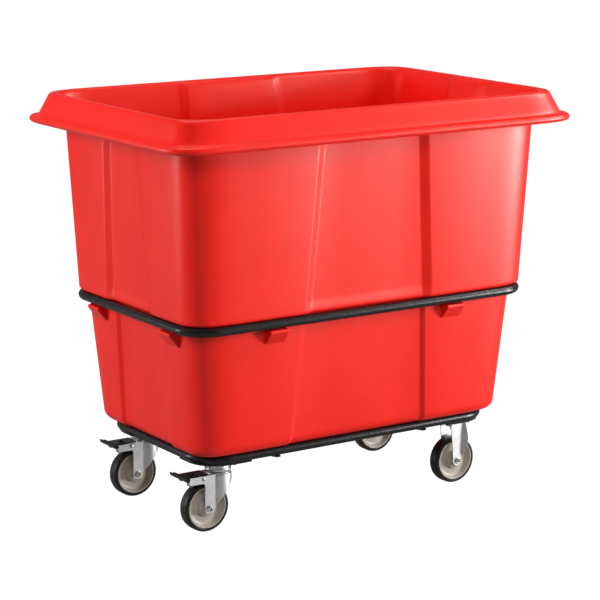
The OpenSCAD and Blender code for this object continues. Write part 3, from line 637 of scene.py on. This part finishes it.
def makeSwivelFork(end):
    p = swivel
    king, wheel, crown = swivelFrame(end)
    t, out, head = p["sheet"], p["legOut"], p["headRadius"]
    legX, legLow = wheel.x - king.x, wheel.z - p["legBelowAxle"]
    front, rear = legX + p["legHalf"], legX - p["legHalf"]
    armEnd, armLow = rear - p["armLength"], crown - p["armHeight"]
    crease = -math.sqrt(head ** 2 - out ** 2)
    hem = legLow + p["skirtStart"]
    part = newPart()

    # flat leg and pedal arm on each side, in one sheet; they run just inside the skirt
    tuck = 1.5 * mm
    outline = roundCorners([
        (crease + tuck, crown, 0), (crease + tuck, hem + 2 * mm, 0), (crease, hem, 0),
        (front, legLow, p["toe"]), (rear, legLow, p["toe"]), (rear, armLow, p["toe"]),
        (armEnd, armLow, p["armNose"]), (armEnd, crown, 2 * mm)], 7)
    for s in (-1, 1):
        addPrism(part, outline, s * out, s * (out - t), lambda x, z, y: (king.x + x, king.y + y, z))

    # round skirt, bent over at the top into the crown; its hem slants down to the legs
    turn = math.degrees(math.atan2(out, crease))
    bendR = p["crownBend"]
    rings = []
    for i in range(p["skirtSteps"] + 1):
        a = math.radians(-turn + 2 * turn * i / p["skirtSteps"])
        x = head * math.cos(a)
        low = hem + (x - crease) / (head - crease) * (crown - p["skirtDrop"] - hem)
        section = [(head - 0.6 * mm, low), (head, low + 0.6 * mm)]
        section += arc(head - bendR, crown - bendR, bendR, bendR, 0, 90, 7)
        section += [(p["kingHole"], crown), (p["kingHole"], crown - t)]
        section += arc(head - bendR, crown - bendR, bendR - t, bendR - t, 90, 0, 4)
        section += [(head - t, low + 0.6 * mm), (head - t + 0.6 * mm, low)]
        rings.append([(king.x + r * math.cos(a), king.y + r * math.sin(a), z) for r, z in section])
    addRings(part, rings)

    # flat crown between the legs behind the kingpin
    near, far, side = -p["plateStart"], rear + p["plateLap"], out - t
    plate = [(far, -side), (near, -side), (near, side), (far, side)]
    addPrism(part, plate, crown - t, crown - 0.1 * mm, lambda x, y, z: (king.x + x, king.y + y, z))

    # raised neck with the lower ball track
    neckTop = boxOf("swivel_fork_" + end)[1].z
    track = [(crown - t, p["kingHole"]), (neckTop, p["kingHole"]), (neckTop, p["neck"] - 1 * mm),
             (neckTop - 1 * mm, p["neck"]), (crown + 1.6 * mm, p["neck"]), (crown + 1.4 * mm, 24 * mm),
             (crown + 1 * mm, 25.4 * mm), (crown - 0.5 * mm, 25.4 * mm), (crown - t, 20 * mm)]
    addTurned(part, track, (king.x, king.y, 0))
    ob = makeObject("swivelFork_" + end, part)
    bevel(ob, 0.5 * mm, 2, 50)
    place(ob, "zinc", "swivel_" + end, "swivel_fork_" + end)


def makeUpperRace(end):
    king = swivelFrame(end)[0]
    lo, hi = boxOf("upper_race_" + end)
    z, top, out = lo.z, hi.z, (hi.x - lo.x) / 2
    wall = out - 4.4 * mm   # inside of the shell, over the balls
    hole, sheet = swivel["kingHole"], 3 * mm
    outline = roundCorners([
        (z, wall, 0), (z, out - 0.4 * mm, 0.8 * mm), (z + 4.6 * mm, out, 1.4 * mm),
        (z + 6.2 * mm, out - 2.9 * mm, 2 * mm), (top - 1 * mm, out - 3.6 * mm, 1.2 * mm),
        (top, out - 3 * mm, 0), (top, hole, 0), (top - sheet, hole, 0), (top - sheet, wall, 0)])
    part = newPart()
    addTurned(part, outline, (king.x, king.y, 0), steps=96)
    place(makeObject("upperRace_" + end, part), "zinc", "root", "upper_race_" + end)


# Brake pedal: wide tread bar with a curled lip, grip ribs, a raised nub, two ears on the pin
pedal = {
    "sheet": 2.5 * mm,
    "rise": 2 * mm,
    "earOut": 17.7 * mm,
    "earDrop": 6 * mm,
    "front": 13 * mm,
    "lip": 3 * mm,
    "barDrop": 4 * mm,
    "nub": 12 * mm,
    "nubBack": 14 * mm,
    "ribs": 4,
    "ribPitch": 1.9 * mm,
}


def makePedal(end):
    p = pedal
    king, wheel, crown = swivelFrame(end)
    pin = middleOf("pedal_pin_" + end)
    lo, hi = boxOf("brake_pedal_" + end)
    t, top = p["sheet"], crown + p["rise"]
    low, half = top - t, (hi.y - lo.y) / 2
    px, armEnd = pin.x - king.x, wheel.x - king.x - swivel["legHalf"] - swivel["armLength"]
    back, front = armEnd - 1 * mm, px + p["front"]
    part = newPart()

    def across(x, z, y):
        return (king.x + x, king.y + y, z)

    # tread bar: the same section at every station, drawn in a little at its two ends
    barIn, barOut = back, lo.x - king.x
    section = roundCorners([
        (barIn, low, 0), (barIn, top, 0.8 * mm), (barOut + 5 * mm, top, 3 * mm),
        (barOut + 2 * mm, top + p["lip"], 0.8 * mm), (barOut, top + p["lip"], 0.8 * mm),
        (barOut + 1 * mm, low - 1 * mm, 3 * mm),
        (barOut + 5 * mm, low - p["barDrop"], 1.5 * mm),
        (barIn - 3 * mm, low - p["barDrop"], 0.6 * mm)], 4)
    midX = sum(q[0] for q in section) / len(section)
    midZ = sum(q[1] for q in section) / len(section)
    stations = []
    for inward, size in ((0, 0.7), (0.5, 0.84), (1.6, 0.95), (3.4, 1)):
        stations.append((-half + inward * mm, size))
    stations += [(-y, size) for y, size in reversed(stations)]
    addRings(part, [[across(midX + (x - midX) * size, midZ + (z - midZ) * size, y) for x, z in section]
                    for y, size in stations])

    # flat tread between the arms, with grip ribs across it near the bar
    width = p["earOut"]
    tread = roundCorners([(back - 1 * mm, -width, 0), (front, -width, 2 * mm), (front, width, 2 * mm),
                          (back - 1 * mm, width, 0)], 4)
    addPrism(part, tread, low, top, lambda x, y, z: (king.x + x, king.y + y, z))
    for i in range(p["ribs"]):
        x = barOut + 5.6 * mm + p["ribPitch"] * i
        rib = arc(x, top - 0.1 * mm, 0.55 * mm, 0.75 * mm, 0, 180, 5)
        addPrism(part, rib, -half + 4 * mm, half - 4 * mm, across)

    # raised nub in the middle of the tread: its crest is smaller than its foot and drawn in
    a, b, w = armEnd + p["nubBack"], armEnd + p["nubBack"] + p["nub"], p["nub"] / 2
    foot = roundCorners([(a, -w, 2.5 * mm), (b, -w, 2.5 * mm), (b, w, 2.5 * mm), (a, w, 2.5 * mm)], 4)
    crestBack, crestFront, crestHalf = a + 2 * mm, b - 3 * mm, w - 2 * mm
    crest = roundCorners([(crestBack, -crestHalf, 2 * mm), (crestFront, -crestHalf, 2 * mm),
                          (crestFront, crestHalf, 2 * mm), (crestBack, crestHalf, 2 * mm)], 4)
    levels = [(foot, -0.5 * mm, 1), (foot, 0.4 * mm, 1), (crest, 2.4 * mm, 0.904), (crest, 3 * mm, 0.84)]
    middle = (a + b) / 2
    nub = []
    for points, rise, size in levels:
        nub.append([(king.x + middle + (x - middle) * size, king.y + y * size, top + rise)
                    for x, y in points])
    addRings(part, nub)

    # ears that hang on the pedal pin
    earLow, earHalf, earTop = pin.z - p["earDrop"], 7 * mm, top - 0.3 * mm
    ear = roundCorners([
        (px + earHalf, earLow, 4 * mm), (front, low, 2 * mm), (front, earTop, 0), (back, earTop, 0),
        (back, low, 0), (px - 2 * earHalf, low - 1 * mm, 2 * mm), (px - earHalf, earLow, 4 * mm)], 5)
    for s in (-1, 1):
        addPrism(part, ear, s * width, s * (width - t), across)
    ob = makeObject("brakePedal_" + end, part)
    bevel(ob, 0.5 * mm, 2, 40)
    place(ob, "pedal", "pedal_" + end, "brake_pedal_" + end)


def makePedalPin(end):
    pin = middleOf("pedal_pin_" + end)
    lo, hi = boxOf("pedal_pin_" + end)
    half, seat, r = (hi.y - lo.y) / 2, swivel["legOut"] + 0.1 * mm, 3 * mm
    side = [(seat, r), (seat, r + 1 * mm), (seat + 0.9 * mm, r + 0.9 * mm), (seat + 1.6 * mm, r),
            (half - 0.1 * mm, 1.6 * mm), (half, 0.6 * mm), (half, axisHole)]
    part = newPart()
    addTurned(part, side + [(-y, q) for y, q in reversed(side)], tuple(pin), "Y", 40)
    place(makeObject("pedalPin_" + end, part), "fasteners", "swivel_" + end, "pedal_pin_" + end)


# Wheels: rubber tyre on a dished nylon hub, shared by both kinds of caster
wheelSizes = {
    "tyreHalf": 14 * mm,
    "shoulder": 6 * mm,
    "hubEdge": 13.2 * mm,
    "web": 3.2 * mm,
    "boss": 18.5 * mm,
    "bore": 7.05 * mm,
    "steps": 128,
}


def makeTyre(kind, end):
    p = wheelSizes
    lo, hi = boxOf(kind + "_tyre_" + end)
    hubLow, hubHigh = boxOf(kind + "_hub_" + end)
    r, rim = (hi.z - lo.z) / 2, (hubHigh.z - hubLow.z) / 2
    half, s = p["tyreHalf"], p["shoulder"]
    seam, seamRise = 0.25 * mm, 0.02 * mm   # faint mould line round the tread
    side = [(half - 0.9 * mm, rim + 0.05 * mm), (half - 0.25 * mm, rim + 0.35 * mm),
            (half - 0.5 * mm, rim + 0.9 * mm), (half - 0.1 * mm, rim + 1.35 * mm)]
    side += arc(half - s, r - s, s, s - 0.12 * mm, 8, 90, 12)
    side += [(2.2 * mm, r - seamRise), (seam, r - seamRise), (seam / 2, r)]
    part = newPart()
    centre = middleOf(kind + "_hub_" + end)
    addTurned(part, side + [(-y, q) for y, q in reversed(side)], tuple(centre), "Y", p["steps"])
    ob = makeObject(kind + "Tyre_" + end, part, 25)
    place(ob, "tyre", kind + "_wheel_" + end, kind + "_tyre_" + end)


def makeHub(kind, end):
    p = wheelSizes
    lo, hi = boxOf(kind + "_hub_" + end)
    rim, half = (hi.z - lo.z) / 2, (hi.y - lo.y) / 2
    edge, web, boss = p["hubEdge"], p["web"], p["boss"]
    dish = [(edge - 1 * mm, rim, 0.4 * mm), (edge, rim - 0.9 * mm, 0.5 * mm),
            (edge, rim - 2.7 * mm, 0.7 * mm), (edge - 2.2 * mm, rim - 3.6 * mm, 0.8 * mm),
            (web + 2 * mm, rim - 6.2 * mm, 2.6 * mm), (web, rim - 10 * mm, 4 * mm),
            (web, boss + 3.6 * mm, 2 * mm), (web + 1.6 * mm, boss + 0.9 * mm, 1 * mm),
            (edge - 3.4 * mm, boss, 1.6 * mm), (edge - 1.6 * mm, boss - 5.2 * mm, 2 * mm),
            (half - 0.8 * mm, 10.4 * mm, 0.8 * mm), (half, 9.4 * mm, 0.5 * mm), (half, p["bore"], 0)]
    outline = dish + [(-y, q, c) for y, q, c in reversed(dish)]
    part = newPart()
    addTurned(part, roundCorners(outline, 4), tuple((lo + hi) / 2), "Y", p["steps"])
    ob = makeObject(kind + "Hub_" + end, part, 50)
    place(ob, "hub", kind + "_wheel_" + end, kind + "_hub_" + end)


# Axle bolts: a round cupped head towards the front and a threaded end behind
axle = {"radius": 4 * mm, "headWall": 2.3 * mm, "pitch": 1.25 * mm, "turns": 6, "threadDepth": 0.65 * mm}


def makeAxle(kind, end, body):
    p = axle
    lo, hi = boxOf(kind + "_axle_" + end)
    centre = middleOf(kind + "_hub_" + end)
    seat, head = swivel["legOut"] + 0.1 * mm, (hi.z - lo.z) / 2
    top, tip, r = centre.y - lo.y, hi.y - centre.y, p["radius"]
    cup = head - p["headWall"]
    profile = [(-seat, r), (-seat, head - 0.2 * mm), (-seat - 0.3 * mm, head),
               (-top + 0.8 * mm, head - 0.1 * mm), (-top + 0.2 * mm, head - 0.6 * mm),
               (-top, head - 1.3 * mm), (-top, cup + 0.3 * mm), (-top + 0.3 * mm, cup),
               (-seat - 0.6 * mm, cup - 0.3 * mm), (-seat - 0.5 * mm, 2.9 * mm),
               (-top + 0.9 * mm, 2.5 * mm), (-top + 0.5 * mm, 1.9 * mm), (-top + 0.5 * mm, axisHole),
               (tip, axisHole), (tip, r - 1 * mm)]
    threadEnd, ridge = tip - 0.8 * mm, r - 0.1 * mm
    for k in range(p["turns"]):
        y = threadEnd - k * p["pitch"]
        profile += [(y, ridge), (y - p["pitch"] / 2, ridge - p["threadDepth"])]
    profile.append((threadEnd - p["turns"] * p["pitch"], r))
    part = newPart()
    addTurned(part, profile, tuple(centre), "Y", 64)
    place(makeObject(kind + "Axle_" + end, part, 30), "fasteners", body, kind + "_axle_" + end)


# Rigid fork: bolted plate, two tapered legs whose front edges flare outwards, arched web behind
rigid = {
    "sheet": 2.5 * mm,
    "topWidth": 31 * mm,
    "topBack": 17 * mm,
    "toe": 10 * mm,
    "toeBack": 1 * mm,
    "flare": 12.5 * mm,
    "flareTop": 0.42,
    "flareTurn": 52,
    "flareOnset": 2.5,
    "bendRadius": 2.6 * mm,
    "archRadius": 24 * mm,
    "archDrop": 34 * mm,
    "webDrop": 20 * mm,
    "plateHalf": 29 * mm,
    "plateCorner": 7 * mm,
    "levels": 40,
}


def makeRigidFork(end):
    p = rigid
    centre = middleOf("rigid_hub_" + end)
    lo, hi = boxOf("rigid_fork_" + end)
    t, out = p["sheet"], swivel["legOut"]
    plateLow = hi.z - t
    mid = (lo.x + hi.x) / 2
    toeTop = centre.z + 3 * mm
    part = newPart()

    def edges(z):
        # back and front edge of the flat leg at this height
        if z < toeTop:
            span = math.sqrt(max(0, p["toe"] ** 2 - min(0, z - centre.z) ** 2))
            return -p["toeBack"] - span, -p["toeBack"] + span
        k = (z - toeTop) / (plateLow - toeTop)
        back, front = -p["toeBack"] - p["toe"], -p["toeBack"] + p["toe"]
        topBack, topFront = -p["topBack"], p["topWidth"] - p["topBack"]
        return back + (topBack - back) * k, front + (topFront - front) * k

    def flare(z):
        # share of the full flare: nothing at the toe, widest half way up, narrower under the plate
        k = (z - toeTop) / (plateLow - toeTop)
        if k <= 0:
            return 0
        if k < 0.5:
            return math.sin(math.pi * k) ** 1.2
        return p["flareTop"] + (1 - p["flareTop"]) * (0.5 + 0.5 * math.cos(math.pi * (2 * k - 1)))

    heights = [centre.z - p["toe"] * math.cos(math.radians(a)) for a in range(4, 91, 8)]
    heights.append(centre.z + 1.5 * mm)
    heights += [toeTop + (plateLow - toeTop) * i / p["levels"] for i in range(p["levels"] + 1)]
    for s in (-1, 1):
        loops = []
        for z in heights:
            back, front = edges(z)
            share = flare(z)
            bent = min(1, share * p["flareOnset"])
            turn = math.radians(p["flareTurn"]) * bent
            r = p["bendRadius"]
            fold = max(back + 0.1 * mm, front - 2 * mm * bent)
            length = p["flare"] * share + 0.02 * mm
            outer = [(back, 0), (back * 0.7 + fold * 0.3, 0), (back * 0.3 + fold * 0.7, 0)]
            inner = [(x, -t) for x, _ in outer]
            for k in range(6):
                a = turn * k / 5
                outer.append((fold + r * math.sin(a), r - r * math.cos(a)))
                inner.append((fold + (r + t) * math.sin(a), r - (r + t) * math.cos(a)))
            outer.append((outer[-1][0] + length * math.cos(turn), outer[-1][1] + length * math.sin(turn)))
            inner.append((inner[-1][0] + length * math.cos(turn), inner[-1][1] + length * math.sin(turn)))
            loops.append([(mid + x, centre.y + s * (out + y), z) for x, y in outer + inner[::-1]])
        addRings(part, loops)

    # top plate
    hx, hy, r = (hi.x - lo.x) / 2, p["plateHalf"], p["plateCorner"]
    plate = roundCorners([(hx, hy, r), (-hx, hy, r), (-hx, -hy, r), (hx, -hy, r)], 8)
    addPrism(part, plate, plateLow, hi.z, lambda x, y, z: (mid + x, centre.y + y, z))

    # web behind the wheel with an arched lower edge
    side, webLow = out - 0.2 * mm, plateLow - p["webDrop"]
    archZ = plateLow - p["archDrop"]
    reach = math.sqrt(p["archRadius"] ** 2 - (webLow - archZ) ** 2)
    a0 = math.degrees(math.atan2(webLow - archZ, reach))
    web = [(-side, plateLow), (-side, webLow)]
    web += arc(0, archZ, p["archRadius"], p["archRadius"], 180 - a0, a0, 18)
    web += [(side, webLow), (side, plateLow)]
    addPrism(part, web, -p["topBack"] + 0.1 * mm, -p["topBack"] + t,
             lambda y, z, x: (mid + x, centre.y + y, z))
    ob = makeObject("rigidFork_" + end, part)
    bevel(ob, 0.5 * mm, 2, 50)
    place(ob, "zinc", "root", "rigid_fork_" + end)


for end in ("front", "rear"):
    makeSwivelFork(end)
    makeUpperRace(end)
    makePedal(end)
    makePedalPin(end)
    makeRigidFork(end)
    for kind in ("swivel", "rigid"):
        makeTyre(kind, end)
        makeHub(kind, end)
    makeAxle("swivel", end, "swivel_" + end)
    makeAxle("rigid", end, "root")
print("casters made")

# Cross bars under the floor, drawn in to narrow ends where they are welded under the tube
crossBar = {"endWidth": 9 * mm, "taper": 26 * mm, "round": 3 * mm}


def makeCrossBar(side):
    p = crossBar
    lo, hi = boxOf("cross_bar_" + side)
    x, wide, narrow = (lo.x + hi.x) / 2, (hi.x - lo.x) / 2, p["endWidth"] / 2
    half, neck, r = hi.y, hi.y - p["taper"], p["round"]
    corners = [(narrow, half, r), (-narrow, half, r), (-wide, neck, r), (-wide, -neck, r),
               (-narrow, -half, r), (narrow, -half, r), (wide, -neck, r), (wide, neck, r)]
    part = newPart()
    addPrism(part, roundCorners(corners), lo.z, hi.z, lambda a, b, z: (x + a, b, z))
    ob = makeObject("crossBar_" + side, part)
    bevel(ob, 0.7 * mm, 2, 40)
    place(ob, "black_coat", "root", "cross_bar_" + side)


for side in ("left", "right"):
    makeCrossBar(side)
print("cross bars made")

# Steel pieces that keep their own shape get broken edges
edgeRounds = {"corner_plate": 0.8, "swivel_plate": 0.6, "brake_shoe": 0.4,
              "caster_bolts": 0.3, "tub_spacers": 0.4, "tub_washers": 0.3}
for nodeName, nodeObject in nodes.items():
    for start, width in edgeRounds.items():
        if nodeName.startswith(start):
            bevel(nodeObject, width * mm, 2, 40)


# Plain pale floor, white surroundings, camera and soft lights
stageSizes = {
    "floorSize": 30,
    "floorTone": (0.18, 0.18, 0.18),
    "floorGlow": 0.97,
    "floorSheen": 0.09,
    "surround": 0.22,
    "darkSide": (-0.55, -0.83, 0.0),
    "darkRange": (0.2, 0.95),
    "darkLevel": 0.04,
}


def seenOrLit(tree, socket, seenValue, litValue):
    # one strength for what is looked at, another for the light that it gives; the socket of the
    # second is handed back
    rays = tree.nodes.new("ShaderNodeLightPath")
    pick = tree.nodes.new("ShaderNodeMix")
    pick.inputs["A"].default_value = litValue
    pick.inputs["B"].default_value = seenValue
    tree.links.new(rays.outputs["Is Camera Ray"], pick.inputs["Factor"])
    tree.links.new(pick.outputs["Result"], socket)
    return pick.inputs["A"]


def makeStage():
    p = stageSizes
    size = p["floorSize"]
    floor = newPart()
    floor[0].extend([(-size, -size, 0), (size, -size, 0), (size, size, 0), (-size, size, 0)])
    floor[1].append((0, 1, 2, 3))
    ob = makeObject("studioFloor", floor)
    mat, tree, shader = nodeMaterial("paleFloor")
    tone = p["floorTone"]
    addTones(tree, shader, addNoise(tree, 2, 2), 0.3, 0.7, tone, tuple(c + 0.01 for c in tone))
    shader.inputs["Roughness"].default_value = 0.9
    shader.inputs["Specular IOR Level"].default_value = 0.0
    shader.inputs["Emission Color"].default_value = (1, 1, 1, 1)
    seenOrLit(tree, shader.inputs["Emission Strength"], p["floorGlow"], p["floorSheen"])
    setMaterial(ob, mat)

    # the studio is white all round, and gives less light from the side that the object faces
    world = bpy.data.worlds.new("studio")
    bpy.context.scene.world = world
    world.use_nodes = True
    tree = world.node_tree
    back = tree.nodes["Background"]
    back.inputs["Color"].default_value = (1, 1, 1, 1)
    coord = tree.nodes.new("ShaderNodeTexCoord")
    facing = tree.nodes.new("ShaderNodeVectorMath")
    facing.operation = "DOT_PRODUCT"
    facing.inputs[1].default_value = p["darkSide"]
    tree.links.new(coord.outputs["Generated"], facing.inputs[0])
    spread = tree.nodes.new("ShaderNodeMapRange")
    spread.inputs["From Min"].default_value = p["darkRange"][0]
    spread.inputs["From Max"].default_value = p["darkRange"][1]
    spread.inputs["To Min"].default_value = p["surround"]
    spread.inputs["To Max"].default_value = p["darkLevel"]
    tree.links.new(facing.outputs["Value"], spread.inputs["Value"])
    mixed = seenOrLit(tree, back.inputs["Strength"], 1.0, p["surround"])
    tree.links.new(spread.outputs["Result"], mixed)
    bpy.context.scene.view_settings.view_transform = "Standard"


cameraSetup = {
    "spot": (-2.5548, -3.8559, 1.4030),
    "target": (0.0233, 0.0359, 0.4005),
    "lens": 134.5,
    "sensor": 36,
    "farClip": 200,
}


def aim(ob, spot, target):
    ob.location = spot
    ob.rotation_euler = (Vector(target) - Vector(spot)).to_track_quat("-Z", "Y").to_euler()


def makeCamera():
    p = cameraSetup
    data = bpy.data.cameras.new("camera")
    data.lens = p["lens"]
    data.sensor_width = p["sensor"]
    data.clip_end = p["farClip"]
    cam = bpy.data.objects.new("camera", data)
    aim(cam, p["spot"], p["target"])
    bpy.context.scene.collection.objects.link(cam)
    bpy.context.scene.camera = cam


# Area lights: place, aim, width and height in metres, power in watts; some leave no highlight
lights = {
    "keyRight": {"spot": (3.15, -2.5, 0.64), "aim": (0.35, 0, 0.5), "size": (0.9, 1.2), "power": 146},
    "lowRight": {"spot": (3.0, -2.4, 0.17), "aim": (0.4, -0.3, 0.35), "size": (1.0, 0.26), "power": 13},
    "fillLeft": {"spot": (-2.65, 1.75, 0.75), "aim": (-0.35, 0, 0.5), "size": (0.45, 1.3), "power": 21},
    "wideLeft": {"spot": (-3.0, 1.0, 1.8), "aim": (-0.3, 0, 0.5), "size": (1.5, 1.4), "power": 66},
    "frontHigh": {"spot": (-0.9, -3.6, 3.0), "aim": (0, 0, 0.5), "size": (1.8, 1.4), "power": 70},
    "highRight": {"spot": (3.0, -1.3, 2.6), "aim": (0.5, 0, 0.8), "size": (0.8, 0.8), "power": 52},
    "backSoft": {"spot": (1.8, 3.5, 1.6), "aim": (0, 0, 0.5), "size": (1.6, 1.4), "power": 46},
    "topSoft": {"spot": (0.0, 0.3, 3.4), "aim": (-0.2, 0, 0.5), "size": (2.4, 2.0), "power": 25},
}
noHighlight = ("wideLeft", "frontHigh", "backSoft")


def makeLight(name, p):
    data = bpy.data.lights.new(name, "AREA")
    data.shape = "RECTANGLE"
    data.size, data.size_y = p["size"]
    data.energy = p["power"]
    ob = bpy.data.objects.new(name, data)
    ob.visible_glossy = name not in noHighlight
    ob.visible_camera = False
    aim(ob, p["spot"], p["aim"])
    bpy.context.scene.collection.objects.link(ob)


makeStage()
makeCamera()
for lightName, values in lights.items():
    makeLight(lightName, values)
print("stage, camera and lights ready")
